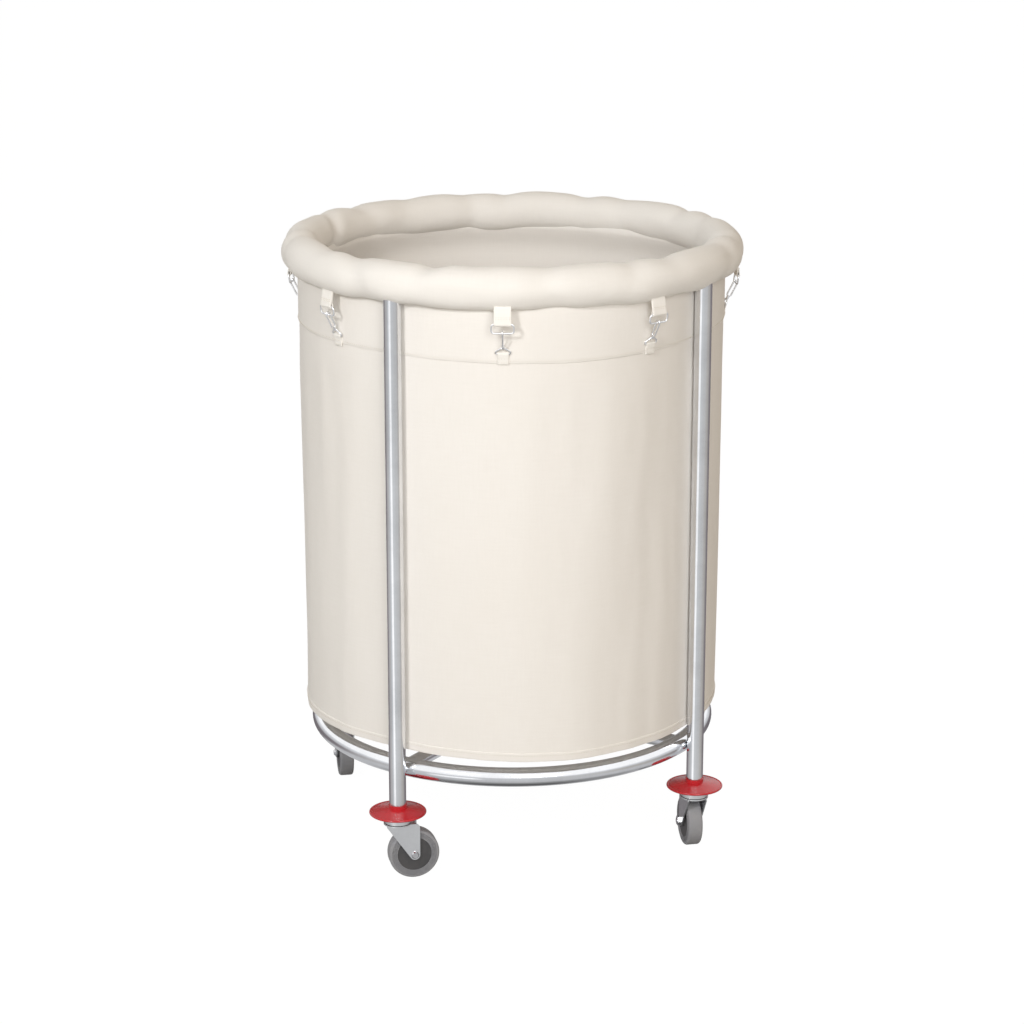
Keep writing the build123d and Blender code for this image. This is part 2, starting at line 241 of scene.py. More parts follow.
def raised(tree, height, strength, distance):
    """One Bump node."""
    node = tree.nodes.new("ShaderNodeBump")
    node.inputs["Strength"].default_value = strength
    node.inputs["Distance"].default_value = distance
    tree.links.new(height, node.inputs["Height"])
    return node.outputs["Normal"]


use_marks, given, result = effect(
    "marks of use",
    [("Point", "NodeSocketVector", None), ("Cloud Scale", "NodeSocketFloat", 12.0),
     ("Scratch Scale", "NodeSocketFloat", 260.0), ("Grain", "NodeSocketVector", (1.0, 1.0, 0.06))],
    ["Clouds", "Scratches", "Specks"])
point, scratch_size = given.outputs["Point"], given.outputs["Scratch Scale"]
drawn = use_marks.nodes.new("ShaderNodeVectorMath")
drawn.operation = "MULTIPLY"
use_marks.links.new(point, drawn.inputs[0])
use_marks.links.new(given.outputs["Grain"], drawn.inputs[1])
clouds = mottle(use_marks, point, given.outputs["Cloud Scale"], detail=5, roughness=0.6)
scratches = mottle(use_marks, drawn.outputs[0], scratch_size, detail=3)
specks = mottle(use_marks, point, calc(use_marks, "MULTIPLY", scratch_size, 3.1), detail=2)
for label, texture, low, high in (
        ("Clouds", clouds, 0.32, 0.68), ("Scratches", scratches, 0.55, 0.75),
        ("Specks", specks, 0.62, 0.72)):
    use_marks.links.new(ranged(use_marks, texture, low, high), result.inputs[label])


def worn_finish(name, clean, tired, metallic, smooth, rough, cloud_scale, scratch_scale, relief,
                grain=(1.0, 1.0, 0.06), coat=0.0):
    """Metal or plastic with wandering colour and gloss, and fine scratches and specks."""
    finish = bpy.data.materials.new(name)
    finish.use_nodes = True
    tree = finish.node_tree
    shader = tree.nodes["Principled BSDF"]
    shader.inputs["Metallic"].default_value = metallic
    shader.inputs["Coat Weight"].default_value = coat
    shader.inputs["Coat Roughness"].default_value = 0.06
    place = tree.nodes.new("ShaderNodeTexCoord")
    marks = use_effect(tree, use_marks, Cloud_Scale=cloud_scale, Scratch_Scale=scratch_scale,
                       Grain=grain, Point=place.outputs["Object"])
    wear = calc(tree, "MULTIPLY_ADD", marks["Specks"], 0.25, marks["Clouds"])
    wear = calc(tree, "MULTIPLY_ADD", marks["Scratches"], 0.2, wear)
    tone = mix_colours(tree, calc(tree, "MINIMUM", wear, 1.0), (*clean, 1), (*tired, 1))
    tree.links.new(tone, shader.inputs["Base Color"])
    tree.links.new(ranged(tree, wear, 0.0, 1.4, smooth, rough), shader.inputs["Roughness"])
    nicks = calc(tree, "ADD", marks["Scratches"], marks["Specks"])
    tree.links.new(raised(tree, nicks, 0.35, relief), shader.inputs["Normal"])
    return finish


def dress(finish, *names):
    """Puts a finish on CAD nodes, in every slot that they have."""
    for name in names:
        slots = frame["nodes"][name].data.materials
        if not slots:
            slots.append(finish)
        for index in range(len(slots)):
            slots[index] = finish


def at_corners(*kinds):
    """The names of the pieces of these kinds at all four corners."""
    corners = ("front_left", "front_right", "rear_right", "rear_left")
    return [kind + "_" + corner for kind in kinds for corner in corners]


chrome = worn_finish(
    "bright_chrome", (0.86, 0.87, 0.89), (0.74, 0.75, 0.77), metallic=1.0, smooth=0.05,
    rough=0.16, cloud_scale=14, scratch_scale=320, relief=0.00002)
dress(chrome, "top_hoop", "lower_hoop", "crossbar_long", "crossbar_half_right",
      "crossbar_half_left", *at_corners("leg"))

# ----------------------------------------------------------------- the castors
# Swivel castors plugged into the uprights: a pressed and zinc plated fork, its
# ball race, a bright stem in a plastic socket, an axle bolt and its nut.
zinc = worn_finish(
    "zinc_plated_pressing", (0.78, 0.79, 0.80), (0.64, 0.65, 0.66), metallic=1.0, smooth=0.30,
    rough=0.46, cloud_scale=30, scratch_scale=500, relief=0.00003)
steel = worn_finish(
    "bright_turned_steel", (0.74, 0.74, 0.75), (0.55, 0.55, 0.57), metallic=1.0, smooth=0.12,
    rough=0.30, cloud_scale=60, scratch_scale=900, relief=0.00002)
nylon = worn_finish(
    "socket_nylon", (0.055, 0.055, 0.058), (0.095, 0.093, 0.09), metallic=0.0, smooth=0.38,
    rough=0.55, cloud_scale=40, scratch_scale=600, relief=0.00004)
dress(zinc, "race_caps", *at_corners("fork"))
dress(steel, "castor_stems", "swivel_balls", *at_corners("axle_bolt", "axle_nut"))
dress(nylon, "leg_sockets")

# The wheel centres are moulded in dark grey plastic, a little chalky with use.
centre_grey = worn_finish(
    "wheel_centre_plastic", (0.046, 0.045, 0.048), (0.075, 0.073, 0.074), metallic=0.0,
    smooth=0.42, rough=0.62, cloud_scale=45, scratch_scale=700, relief=0.00005)
dress(centre_grey, *at_corners("hub"))

# ------------------------------------------------------------------- the tyres
# A grey rubber tyre is moulded round each wheel centre. Its tread is plain with
# rounded shoulders, and its sides carry fine rings from the mould.
tread_radius = 0.0375
tread_width = 0.022
shoulder = 0.0035
seat_radius = 0.0255
flat_side = 0.0006
ring_count = 5
ring_profile = ((0.0003, -0.0009), (0.0004, 0), (0.0003, 0.0009), (0.0005, 0))


def choose_faces(piece, wanted):
    """Selects the faces that wanted(face) picks, and goes into Edit Mode."""
    bpy.ops.mesh.select_all(action="DESELECT")
    bpy.ops.object.mode_set(mode="OBJECT")
    for face in piece.data.polygons:
        face.select = wanted(face)
    bpy.ops.object.mode_set(mode="EDIT")


def own_copy(name, model):
    """A piece with its own copy of the model's mesh."""
    piece = bpy.data.objects.new(name, model.data.copy())
    bpy.context.collection.objects.link(piece)
    return piece


bpy.ops.object.select_all(action="DESELECT")
bpy.ops.mesh.primitive_cylinder_add(
    vertices=112, radius=tread_radius, depth=tread_width, location=(0, 0, 0))
tyre = bpy.context.object
bpy.ops.object.mode_set(mode="EDIT")
bpy.ops.mesh.select_mode(type="FACE")
choose_faces(tyre, lambda face: abs(face.normal.z) > 0.9)
bpy.ops.mesh.bevel(offset=shoulder, segments=5, profile=0.5, affect="EDGES")
choose_faces(tyre, lambda face: abs(face.normal.z) > 0.9 and len(face.vertices) > 8)
bpy.ops.mesh.inset(thickness=flat_side, depth=0)
for width, depth in ring_profile * ring_count:
    bpy.ops.mesh.inset(thickness=width, depth=depth)
ringed = flat_side + ring_count * sum(width for width, depth in ring_profile)
bpy.ops.mesh.inset(thickness=tread_radius - shoulder - ringed - seat_radius, depth=0)
bpy.ops.mesh.delete(type="FACE")
bpy.ops.mesh.select_mode(type="EDGE")
bpy.ops.mesh.select_all(action="DESELECT")
bpy.ops.mesh.select_non_manifold()
bpy.ops.mesh.bridge_edge_loops()
bpy.ops.mesh.select_all(action="SELECT")
bpy.ops.mesh.normals_make_consistent(inside=False)
bpy.ops.object.mode_set(mode="OBJECT")
bpy.ops.object.shade_smooth_by_angle(angle=math.radians(50))

rubber = worn_finish(
    "grey_tyre_rubber", (0.262, 0.264, 0.285), (0.31, 0.31, 0.32), metallic=0.0, smooth=0.5,
    rough=0.78, cloud_scale=38, scratch_scale=420, relief=0.00006, grain=(1.0, 1.0, 1.0))
tyre.data.materials.append(rubber)
for joint in frame["joints"]:
    if joint["name"].startswith("wheel_spin_"):
        corner = joint["name"].replace("wheel_spin_", "")
        axle = Vector(joint["axis"]).to_track_quat("Z", "Y").to_matrix().to_4x4()
        one = own_copy("rubber_tyre_" + corner, tyre)
        one.data.transform(Matrix.Translation(joint["pos_m"]) @ axle)
        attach(one, "wheel_" + corner)
        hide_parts("tyre_" + corner)
bpy.data.objects.remove(tyre)

# ------------------------------------------------------------- the red buffers
# A soft red plastic disc turns on the foot of each upright, so that the trolley
# rolls along a wall without marking it. It is moulded, glossy and lightly dusty.
buffer_red = worn_finish(
    "buffer_red_plastic", (0.56, 0.014, 0.022), (0.46, 0.018, 0.022), metallic=0.0, smooth=0.20,
    rough=0.34, cloud_scale=22, scratch_scale=380, relief=0.00003, grain=(1.0, 1.0, 1.0),
    coat=0.12)
dress(buffer_red, *at_corners("bumper"))

# --------------------------------------------------------------------- the bag
# The bag is one long strip of cream cotton canvas, sewn into a tube and onto a
# round base. It bulges between the uprights and is drawn in where it passes them.
wall_high = 0.8745
wall_ply = 0.0018
wall_points = 288
hem_height = 0.1955
upright_reach = 0.3082
belly = 0.0093
upright_dent = 0.0016
lining_inset = 0.0172


def turned_from_upright(angle):
    """How far an angle is from the nearest upright, in degrees."""
    return abs((math.degrees(angle) + 180) % 90 - 45)


def eased(value, low, high):
    """0 up to low and 1 from high, with a smooth rise between them."""
    share = min(1.0, max(0.0, (value - low) / (high - low)))
    return share * share * (3 - 2 * share)


def wall_outline(angle):
    """The outside of the canvas, from the trolley's axis, before any crease."""
    reach = upright_reach + belly * (1 - math.cos(4 * angle - math.pi)) / 2
    return reach - upright_dent * (1 - eased(turned_from_upright(angle), 2.6, 9.0))


def wall_creases(angle, z):
    """Slack in the canvas: broad soft hollows, and finer creases running down it."""
    free = eased(turned_from_upright(angle), 3.0, 16.0) * (1 - 0.85 * eased(z, 0.70, 0.775))
    east, north = math.cos(angle), math.sin(angle)
    broad = noise.noise(Vector((2.1 * east, 2.1 * north, 3.1 * z + 4.0)))
    long_fold = noise.noise(Vector((7.5 * east + 3.0, 7.5 * north, 1.5 * z)))
    small = noise.noise(Vector((17.0 * east, 17.0 * north + 5.0, 8.0 * z)))
    return free * (0.0036 * broad + 0.0020 * long_fold + 0.0006 * small - 0.0008)


def strip_round(name, points, lows, highs, steps):
    """A band of cloth stood on edge: a circle drawn up in steps between two lines."""
    bpy.ops.object.select_all(action="DESELECT")
    bpy.ops.mesh.primitive_circle_add(vertices=points, radius=0.31, location=(0, 0, 0))
    band = bpy.context.object
    band.name = name
    bpy.ops.object.mode_set(mode="EDIT")
    bpy.ops.mesh.select_mode(type="VERT")
    bpy.ops.mesh.select_all(action="SELECT")
    for _ in range(steps):
        bpy.ops.mesh.extrude_region_move(TRANSFORM_OT_translate={"value": (0, 0, 1.0 / steps)})
    bpy.ops.mesh.select_all(action="SELECT")
    bpy.ops.mesh.normals_make_consistent(inside=False)
    bpy.ops.object.mode_set(mode="OBJECT")
    for vertex in band.data.vertices:
        angle = math.atan2(vertex.co.y, vertex.co.x)
        vertex.co.z = lows(angle) + vertex.co.z * (highs(angle) - lows(angle))
    return band


def set_radius(band, radius):
    """Moves each point of a band in or out to radius(angle, z)."""
    for vertex in band.data.vertices:
        angle = math.atan2(vertex.co.y, vertex.co.x)
        length = radius(angle, vertex.co.z)
        vertex.co.x, vertex.co.y = length * math.cos(angle), length * math.sin(angle)


def select_only(piece):
    """Selects one piece and makes it active."""
    bpy.ops.object.select_all(action="DESELECT")
    piece.select_set(True)
    bpy.context.view_layer.objects.active = piece


def give_ply(band, thickness, offset=0.0, rounding=0.0):
    """Gives cloth its thickness, and rounds its edges where they are seen."""
    select_only(band)
    ply = band.modifiers.new("ply", "SOLIDIFY")
    ply.thickness = thickness
    ply.offset = offset
    ply.use_even_offset = True
    bpy.ops.object.modifier_apply(modifier="ply")
    if rounding:
        edge = band.modifiers.new("edge", "BEVEL")
        edge.width = rounding
        edge.segments = 2
        edge.limit_method = "ANGLE"
        edge.angle_limit = math.radians(50)
        bpy.ops.object.modifier_apply(modifier="edge")
    bpy.ops.object.shade_smooth()


def hem_line(angle):
    """The bottom fold of the bag: it dips a little between the uprights."""
    east, north = math.cos(angle), math.sin(angle)
    uneven = 0.0012 * noise.noise(Vector((2.6 * east, 2.6 * north, 7.0)))
    return hem_height + uneven - 0.0012 * math.cos(4 * angle)


def lining_gather(z):
    """How far the bag's top is drawn in, to where it is sewn inside the rim."""
    return lining_inset * eased(z, 0.828, wall_high)


canvas_bag = strip_round(
    "canvas_bag", wall_points, lambda a: hem_line(a) + 0.0012, lambda a: wall_high, 64)
set_radius(canvas_bag, lambda a, z: (
    wall_outline(a) + wall_creases(a, z) - wall_ply / 2 - lining_gather(z)))
give_ply(canvas_bag, wall_ply)

# Canvas is a plain weave of round cotton threads, some thicker than others. The
# effect takes its place in threads, so that the same cloth goes round every piece.
weave, given, result = effect(
    "canvas weave",
    [("Threads Across", "NodeSocketFloat", 0.0), ("Threads Up", "NodeSocketFloat", 0.0)],
    ["Height", "Slubs"])
across, up = given.outputs["Threads Across"], given.outputs["Threads Up"]
round_across, round_up = (
    calc(weave, "SINE", calc(weave, "MULTIPLY", calc(weave, "FRACT", way), math.pi))
    for way in (across, up))
whole_threads = calc(weave, "ADD", calc(weave, "FLOOR", across), calc(weave, "FLOOR", up))
over = calc(weave, "FLOORED_MODULO", whole_threads, 2)
warp = calc(weave, "MULTIPLY", round_across, calc(weave, "MULTIPLY_ADD", round_up, 0.45, 0.55))
weft = calc(weave, "MULTIPLY", round_up, calc(weave, "MULTIPLY_ADD", round_across, 0.45, 0.55))
mixed = calc(weave, "MULTIPLY_ADD", over, calc(weave, "SUBTRACT", weft, warp), warp)
weave.links.new(mixed, result.inputs["Height"])
slubs = []
for stretch_across, stretch_up in ((0.035, 0.42), (0.42, 0.035)):
    thread = weave.nodes.new("ShaderNodeCombineXYZ")
    weave.links.new(calc(weave, "MULTIPLY", across, stretch_across), thread.inputs["X"])
    weave.links.new(calc(weave, "MULTIPLY", up, stretch_up), thread.inputs["Y"])
    slubs.append(mottle(weave, thread.outputs[0], scale=1.0, detail=3))
weave.links.new(calc(weave, "MULTIPLY", calc(weave, "ADD", *slubs), 0.5), result.inputs["Slubs"])

thread_pitch = 0.0012
threads_round = 1640


def split_place(tree, place):
    """The X, Y and Z sockets of a place."""
    split = tree.nodes.new("ShaderNodeSeparateXYZ")
    tree.links.new(place, split.inputs[0])
    return [split.outputs[label] for label in "XYZ"]


def round_the_trolley(tree, place):
    """Threads counted round the trolley's axis, and up it."""
    x, y, z = split_place(tree, place.outputs["Object"])
    around = calc(tree, "ARCTAN2", y, x)
    return (calc(tree, "MULTIPLY", around, threads_round / (2 * math.pi)),
            calc(tree, "DIVIDE", z, thread_pitch))


def flat_on_the_floor(tree, place):
    """Threads counted along X and along Y, for cloth that lies flat."""
    x, y, z = split_place(tree, place.outputs["Object"])
    return calc(tree, "DIVIDE", x, thread_pitch), calc(tree, "DIVIDE", y, thread_pitch)


def cotton(name, bright, dull, soiled, threads_of, relief=0.00022):
    """Woven cotton: lit threads over shaded gaps, uneven yarn, and faint old stains."""
    cloth = bpy.data.materials.new(name)
    cloth.use_nodes = True
    tree = cloth.node_tree
    shader = tree.nodes["Principled BSDF"]
    shader.inputs["Sheen Weight"].default_value = 0.12
    shader.inputs["Sheen Roughness"].default_value = 0.6
    shader.inputs["Specular IOR Level"].default_value = 0.25
    place = tree.nodes.new("ShaderNodeTexCoord")
    across, up = threads_of(tree, place)
    threads = use_effect(tree, weave, Threads_Across=across, Threads_Up=up)
    stains = use_effect(tree, use_marks, Cloud_Scale=4.5, Scratch_Scale=120,
                        Grain=(1.0, 1.0, 1.0), Point=place.outputs["Object"])
    # The yarn's tone wanders with its slubs. The raised threads are coloured lighter than the gaps
    # between them, which is painted shade in the weave.
    body = calc(tree, "MULTIPLY_ADD", threads["Slubs"], 0.6, 0.22)
    body = calc(tree, "MULTIPLY_ADD", threads["Height"], 0.45, body)
    yarn = mix_colours(tree, body, (*dull, 1), (*bright, 1))
    stained = calc(tree, "MULTIPLY", stains["Clouds"], 0.35)
    old = mix_colours(tree, stained, yarn, (*soiled, 1))
    tree.links.new(old, shader.inputs["Base Color"])
    fuzz = calc(tree, "MULTIPLY_ADD", threads["Slubs"], -0.12, 0.94)
    tree.links.new(fuzz, shader.inputs["Roughness"])
    lift = calc(tree, "MULTIPLY_ADD", threads["Slubs"], 1.2, threads["Height"])
    tree.links.new(raised(tree, lift, 0.5, relief), shader.inputs["Normal"])
    return cloth


# The dull cream is a shaded copy of the cloth's colour. It gives the painted shade in the weave's
# gaps and the tone of thinner yarn.
creams = {
    "bright": (0.90, 0.868, 0.828), "dull": (0.78, 0.742, 0.692), "soiled": (0.84, 0.80, 0.745)}
wall_canvas = cotton("wall_canvas", **creams, threads_of=round_the_trolley)
canvas_bag.data.materials.append(wall_canvas)

# The hem: the foot of the tube is turned over the edge of the base and sewn.
hem_ply = 0.0012
hem_tall = 0.0125
edge_rounding = 0.0004
bag_hem = strip_round("bag_hem", wall_points, hem_line, lambda a: hem_line(a) + hem_tall, 5)
set_radius(bag_hem, lambda a, z: wall_outline(a) + wall_creases(a, z) + 0.0002)
give_ply(bag_hem, hem_ply, rounding=edge_rounding)
bag_hem.data.materials.append(wall_canvas)

# The base: a round of the same canvas that hangs in a shallow dish from the hem.
# Its edge follows the wall's outline, just inside the canvas.
base_radius = 0.3058
base_height = 0.2010
base_ply = 0.0016
base_sag = 0.0050
base_tuck = 0.0012
bpy.ops.object.select_all(action="DESELECT")
bpy.ops.mesh.primitive_circle_add(
    vertices=144, radius=base_radius, fill_type="NGON", location=(0, 0, base_height))
bag_floor = bpy.context.object
bag_floor.name = "bag_floor"
bpy.ops.object.mode_set(mode="EDIT")
bpy.ops.mesh.select_mode(type="FACE")
bpy.ops.mesh.select_all(action="SELECT")
for _ in range(14):
    bpy.ops.mesh.inset(thickness=0.021, depth=0)
bpy.ops.mesh.poke()
bpy.ops.object.mode_set(mode="OBJECT")
bpy.ops.object.transform_apply(location=True, rotation=True, scale=True)
for vertex in bag_floor.data.vertices:
    reach = math.hypot(vertex.co.x, vertex.co.y) / base_radius
    angle = math.atan2(vertex.co.y, vertex.co.x)
    edge = wall_outline(angle) + wall_creases(angle, 0.2) - base_tuck
    stretch = 1 + reach * reach * (edge / base_radius - 1)
    vertex.co.x *= stretch
    vertex.co.y *= stretch
    uneven = 0.0016 * noise.noise(9 * vertex.co) * (1 - reach ** 6)
    vertex.co.z += -base_sag * (1 - reach ** 2) + uneven
give_ply(bag_floor, base_ply, offset=-1.0)
floor_canvas = cotton("floor_canvas", **creams, threads_of=flat_on_the_floor)
bag_floor.data.materials.append(floor_canvas)

# The top band: a second ply of canvas outside the wall, from the line where the
# clips are sewn up into the padded rim. Its lower edge stands a little proud.
band_ply = 0.0015
band_low = 0.7833
band_high = 0.8690
band_proud = 0.0007


def band_line(angle):
    """The band's lower edge, which rises away from the middle of the front."""
    east, north = math.cos(angle - camera_bearing), math.sin(angle - camera_bearing)
    away = 1 - math.exp(-((math.degrees(math.atan2(north, east)) / 50) ** 2))
    uneven = 0.0009 * noise.noise(Vector((3.4 * east, 3.4 * north, 2.0)))
    return band_low + 0.0050 * away + uneven


top_band = strip_round("top_band", wall_points, band_line, lambda a: band_high, 10)
set_radius(top_band, lambda a, z: (
    wall_outline(a) + wall_creases(a, z) + band_proud * eased(turned_from_upright(a), 2.6, 9.0)))
give_ply(top_band, band_ply, rounding=edge_rounding)
top_band.data.materials.append(wall_canvas)

# Every seam is sewn with thick cotton thread. One stitch is modelled and laid
# along the seam again and again, each lying in the cloth at both its ends.
stitch_length = 0.0027
thread_width = 0.0008
stitch_pitch = 0.0038
seam_reach = 0.312
bpy.ops.object.select_all(action="DESELECT")
bpy.ops.mesh.primitive_uv_sphere_add(
    segments=6, ring_count=4, radius=0.5, location=(0, 0, 0), rotation=(0, math.pi / 2, 0))
stitch = bpy.context.object
stitch.scale = (stitch_length, thread_width, thread_width)
bpy.ops.object.transform_apply(location=True, rotation=True, scale=True)
stitch.data.transform(Matrix.Diagonal((1, 1, 0.8, 1)))
stitch_points = [vertex.co.copy() for vertex in stitch.data.vertices]
stitch_faces = [tuple(face.vertices) for face in stitch.data.polygons]
bpy.data.objects.remove(stitch)

thread_cotton = worn_finish(
    "sewing_thread", (0.70, 0.64, 0.54), (0.60, 0.54, 0.45), metallic=0.0, smooth=0.75,
    rough=0.9, cloud_scale=60, scratch_scale=900, relief=0.00005, grain=(1.0, 1.0, 1.0))


def sew(name, places):
    """Lays a stitch at each place, along its first direction and facing its second."""
    points, faces = [], []
    for middle, along, outward in places:
        along, outward = along.normalized(), outward.normalized()
        beside = outward.cross(along)
        start = len(points)
        points += [middle + p.x * along + p.y * beside + p.z * outward for p in stitch_points]
        faces += [tuple(start + i for i in face) for face in stitch_faces]
    mesh = bpy.data.meshes.new(name)
    mesh.from_pydata(points, [], faces)
    mesh.materials.append(thread_cotton)
    seam = bpy.data.objects.new(name, mesh)
    bpy.context.collection.objects.link(seam)
    select_only(seam)
    bpy.ops.object.shade_smooth()
    return seam


def seam_round(name, line, proud):
    """A row of stitches round the bag, along line(angle) and on the cloth there."""
    count = round(2 * math.pi * seam_reach / stitch_pitch)

    def on_cloth(angle):
        z = line(angle)
        reach = wall_outline(angle) + wall_creases(angle, z) + proud
        return Vector((reach * math.cos(angle), reach * math.sin(angle), z))

    places = []
    for number in range(count):
        angle = 2 * math.pi * number / count
        ahead = on_cloth(angle + 0.004) - on_cloth(angle - 0.004)
        places.append((on_cloth(angle), ahead, Vector((math.cos(angle), math.sin(angle), 0))))
    return sew(name, places)


hem_seam = seam_round("hem_seam", lambda a: hem_line(a) + 0.0092, proud=0.0009)
band_seam = seam_round("band_seam", lambda a: band_line(a) + 0.0034, proud=0.0015)

for piece in (canvas_bag, bag_hem, bag_floor, top_band, hem_seam, band_seam):
    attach(piece, "root")
for piece in (canvas_bag, bag_hem, top_band):
    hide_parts("bag_wall")
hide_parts("bag_base")

# -------------------------------------------------------------- the padded rim
# Foam is wrapped round the top hoop and the canvas is drawn over it and sewn
# shut underneath. It is plump and smooth, with soft dips where the foam gives.
rim_circle = 0.3135
rim_height = 0.8896
rim_start = 0.0272
rim_full = 0.0290
rim_dips = [(math.radians(angle), deep, wide) for angle, deep, wide in (
    (-126, 0.0052, 3.2), (-112, 0.0022, 3.5), (-93, 0.0040, 3.8), (-76, 0.0026, 3.0),
    (-58, 0.0044, 4.2), (-37, 0.0028, 3.4), (-20, 0.0048, 3.6), (3, 0.0034, 4.2),
    (21, 0.0046, 3.4), (40, 0.0026, 3.8), (57, 0.0048, 3.6), (76, 0.0034, 3.2),
    (91, 0.0044, 4.0), (109, 0.0028, 3.4), (126, 0.0040, 3.6), (144, 0.0058, 3.0),
    (163, 0.0036, 4.0), (178, 0.0046, 3.2), (-163, 0.0030, 3.6), (-146, 0.0044, 3.8))]


def degrees_past(angle, mark):
    """How far an angle is past a mark, in degrees, the short way round."""
    return math.degrees(math.atan2(math.sin(angle - mark), math.cos(angle - mark)))


def rim_section(angle, around):
    """How far the foam stands from the rim's middle, here and this way round its section."""
    reach = rim_start
    for at, deep, wide in rim_dips:
        skew = degrees_past(angle, at) - 3.0 * math.sin(around + 9 * at)
        one_sided = 0.62 + 0.38 * math.cos(around - 1.6 + 1.3 * math.sin(7 * at))
        reach -= 1.15 * deep * math.exp(-((skew / wide) ** 2)) * one_sided
    point = Vector((4.2 * math.cos(angle), 4.2 * math.sin(angle), 1.2 * math.sin(around)))
    return reach + 0.0030 * noise.noise(point)


def rim_place(point):
    """The angle of a point round the trolley, and its way out and up from the rim's middle."""
    out = math.hypot(point.x, point.y) - rim_circle
    return math.atan2(point.y, point.x), out, point.z - rim_height


def rim_point(angle, out, rise):
    """The point at this angle, so far out and up from the rim's middle."""
    length = rim_circle + out
    return length * math.cos(angle), length * math.sin(angle), rim_height + rise


bpy.ops.object.select_all(action="DESELECT")
bpy.ops.mesh.primitive_torus_add(
    major_radius=rim_circle, minor_radius=rim_start, major_segments=320, minor_segments=32,
    location=(0, 0, 0))
padded_rim = bpy.context.object
padded_rim.name = "padded_rim"
for vertex in padded_rim.data.vertices:
    angle, out, _ = rim_place(vertex.co)
    around = math.atan2(vertex.co.z, out)    # the torus still lies at Z = 0
    reach = rim_section(angle, around)
    vertex.co = rim_point(angle, reach * math.cos(around), reach * math.sin(around))
even = padded_rim.modifiers.new("even", "REMESH")
even.mode = "VOXEL"
even.voxel_size = 0.0045
bpy.ops.object.modifier_apply(modifier="even")

# The foam swells the canvas as air would. It is held at the seam underneath and
# at the dips, and no point may move further than the foam could push it.
swell_frames = 20
furthest = 0.0045
before = [vertex.co.copy() for vertex in padded_rim.data.vertices]
held_fast = padded_rim.vertex_groups.new(name="sewn_down")
for vertex in padded_rim.data.vertices:
    angle, out, rise = rim_place(vertex.co)
    hold = 1.0 if -112 < math.degrees(math.atan2(rise, out)) < -68 else 0.0
    for at, deep, wide in rim_dips:
        off = abs(degrees_past(angle, at))
        hold = max(hold, 160 * deep * (1 - eased(off, 0.4, 1.8)))
    held_fast.add([vertex.index], min(hold, 1.0), "REPLACE")
filling = padded_rim.modifiers.new("filling", "CLOTH")
filling.settings.quality = 4
filling.settings.use_pressure = True
filling.settings.uniform_pressure_force = 4
filling.settings.vertex_group_mass = "sewn_down"
filling.settings.pin_stiffness = 0.6
filling.settings.effector_weights.gravity = 0
filling.point_cache.frame_end = swell_frames
for number in range(1, swell_frames + 1):
    bpy.context.scene.frame_set(number)
swollen = padded_rim.evaluated_get(bpy.context.evaluated_depsgraph_get())
after = [vertex.co.copy() for vertex in swollen.data.vertices]
padded_rim.modifiers.remove(filling)
bpy.context.scene.frame_set(1)
for vertex, start, end in zip(padded_rim.data.vertices, before, after):
    move = end - start
    if move.length > furthest:
        move *= furthest / move.length
    vertex.co = start + move

select_only(padded_rim)
calm = padded_rim.modifiers.new("calm", "SMOOTH")
calm.factor = 0.5
calm.iterations = 3
bpy.ops.object.modifier_apply(modifier="calm")
places = [rim_place(vertex.co) for vertex in padded_rim.data.vertices]
stands = [math.hypot(out, rise) for angle, out, rise in places]
short = rim_full - sum(stands) / len(stands)
for vertex, (angle, out, rise), reach in zip(padded_rim.data.vertices, places, stands):
    scale = (reach + short) / reach
    vertex.co = rim_point(angle, out * scale, rise * scale)
finer = padded_rim.modifiers.new("finer", "SUBSURF")
finer.levels = finer.render_levels = 1
bpy.ops.object.modifier_apply(modifier="finer")
bpy.ops.object.shade_smooth()


def round_the_rim(tree, place):
    """Threads counted round the trolley, and round the rim's own section."""
    x, y, z = split_place(tree, place.outputs["Object"])
    around = calc(tree, "ARCTAN2", y, x)
    squares = calc(tree, "ADD", calc(tree, "POWER", x, 2), calc(tree, "POWER", y, 2))
    out = calc(tree, "SUBTRACT", calc(tree, "SQRT", squares), rim_circle)
    section = calc(tree, "ARCTAN2", calc(tree, "SUBTRACT", z, rim_height), out)
    return (calc(tree, "MULTIPLY", around, threads_round / (2 * math.pi)),
            calc(tree, "MULTIPLY", section, 150 / (2 * math.pi)))


# Its dull cream is the painted shade in the weave's gaps, and the tone of thinner yarn.
rim_canvas = cotton(
    "rim_canvas", bright=(0.90, 0.872, 0.832), dull=(0.80, 0.765, 0.715),
    soiled=(0.845, 0.81, 0.76), threads_of=round_the_rim, relief=0.00016)
padded_rim.data.materials.append(rim_canvas)
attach(padded_rim, "root")
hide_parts("bag_cuff", "rim_padding")

# ---------------------------------------------------- the rim's tabs and rings
# Eight short lengths of cotton webbing are sewn in under the rim. Each is folded
# round the top of a bent wire ring, and stitched across above the fold.
pivots = {joint["name"]: Vector(joint["pos_m"]) for joint in frame["joints"]}
clips = range(1, 9)
nickel = worn_finish(
    "nickel_plated_wire", (0.93, 0.94, 0.96), (0.80, 0.80, 0.80), metallic=1.0, smooth=0.26,
    rough=0.44, cloud_scale=80, scratch_scale=900, relief=0.00002)
dress(nickel, *("d_ring_%d" % k for k in clips), *("snap_hook_%d" % k for k in clips))


def stand_at(joint):
    """Where a tab stands: at its joint, with X outward and Z up."""
    pivot = pivots[joint]
    return Matrix.Translation(pivot) @ Matrix.Rotation(math.atan2(pivot.y, pivot.x), 4, "Z")


